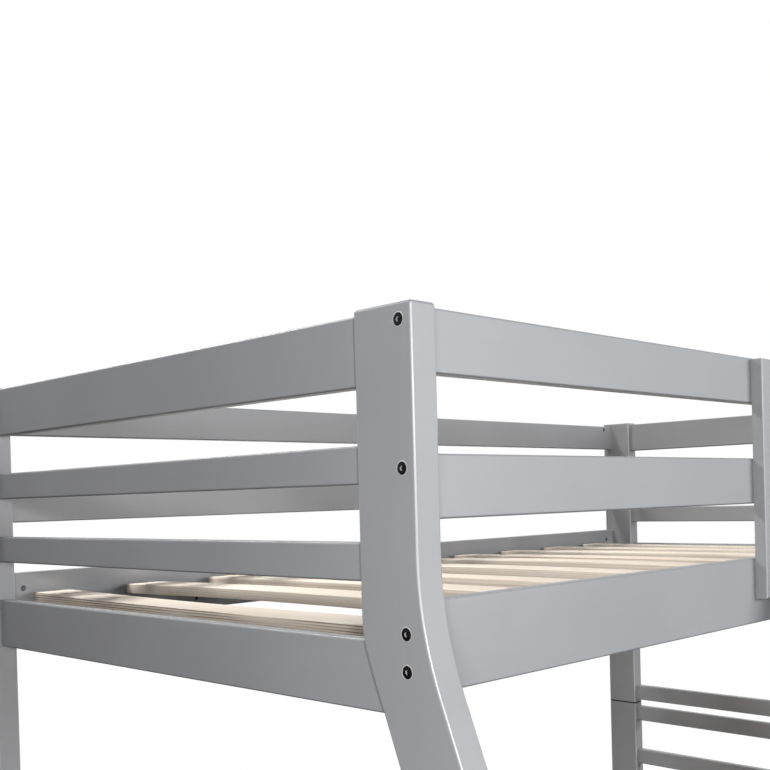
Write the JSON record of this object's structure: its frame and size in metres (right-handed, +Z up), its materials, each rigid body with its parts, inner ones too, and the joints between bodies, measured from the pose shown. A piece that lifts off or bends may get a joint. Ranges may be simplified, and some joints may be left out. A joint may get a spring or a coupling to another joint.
{
  "type": "bunk bed with ladder",
  "caption": "Grey wooden bunk bed, a narrow bunk over a wider one, with bent front legs, guard rails, slatted decks and a hook-on ladder.",
  "frame": {"origin": "on the floor, under the middle of the bed's outline, ladder foot included", "axes": "+X along the bed to the right as seen from the front, +Y to the back (the ladder is on -Y), +Z up"},
  "size_m": [2.015, 1.634, 1.651],
  "materials": {
    "grey_paint": "satin grey paint on solid pine",
    "bare_pine": "planed bare pine",
    "black_steel": "black oxide steel",
    "zinc_steel": "bright zinc plate",
    "dowel_wood": "fluted hardwood"
  },
  "bodies": {
    "frame": {"back_guard_low_rail": "grey_paint", "back_guard_top_rail": "grey_paint", "barrel_nuts": "black_steel", "connector_bolts": "black_steel", "front_guard_low_rail_left": "grey_paint", "front_guard_low_rail_right": "grey_paint", "front_guard_top_rail_left": "grey_paint", "front_guard_top_rail_right": "grey_paint", "guard_stile_left": "grey_paint", "guard_stile_right": "grey_paint", "ledger_screws": "black_steel", "lower_back_ledger": "grey_paint", "lower_back_post_left": "grey_paint", "lower_back_post_right": "grey_paint", "lower_back_side_rail": "grey_paint", "lower_centre_beam": "bare_pine", "lower_centre_legs": "bare_pine", "lower_end_bed_rail_left": "grey_paint", "lower_end_bed_rail_right": "grey_paint", "lower_end_slat_1_left": "grey_paint", "lower_end_slat_1_right": "grey_paint", "lower_end_slat_2_left": "grey_paint", "lower_end_slat_2_right": "grey_paint", "lower_end_slat_3_left": "grey_paint", "lower_end_slat_3_right": "grey_paint", "lower_end_top_rail_left": "grey_paint", "lower_end_top_rail_right": "grey_paint", "lower_front_ledger": "grey_paint", "lower_front_post_left": "grey_paint", "lower_front_post_right": "grey_paint", "lower_front_side_rail": "grey_paint", "lower_slats": "bare_pine", "post_joint_pins": "zinc_steel", "slat_screws": "zinc_steel", "stile_screws": "zinc_steel", "upper_back_ledger": "grey_paint", "upper_back_post_left": "grey_paint", "upper_back_post_right": "grey_paint", "upper_back_side_rail": "grey_paint", "upper_end_bed_rail_left": "grey_paint", "upper_end_bed_rail_right": "grey_paint", "upper_end_slat_1_left": "grey_paint", "upper_end_slat_1_right": "grey_paint", "upper_end_slat_2_left": "grey_paint", "upper_end_slat_2_right": "grey_paint", "upper_end_tie_rail_left": "grey_paint", "upper_end_tie_rail_right": "grey_paint", "upper_end_top_rail_left": "grey_paint", "upper_end_top_rail_right": "grey_paint", "upper_front_ledger": "grey_paint", "upper_front_post_left": "grey_paint", "upper_front_post_right": "grey_paint", "upper_front_side_rail": "grey_paint", "upper_slats": "bare_pine", "wood_dowels": "dowel_wood"},
    "ladder": {"ladder_hooks": "black_steel", "ladder_screws": "black_steel", "ladder_stringer_left": "grey_paint", "ladder_stringer_right": "grey_paint", "ladder_treads": "grey_paint"}
  },
  "joints": [
    {"name": "ladder_lift", "type": "slide", "parent": "frame", "child": "ladder", "axis": [0, 0, 1], "range_m": [0, 0.06]}
  ]
}
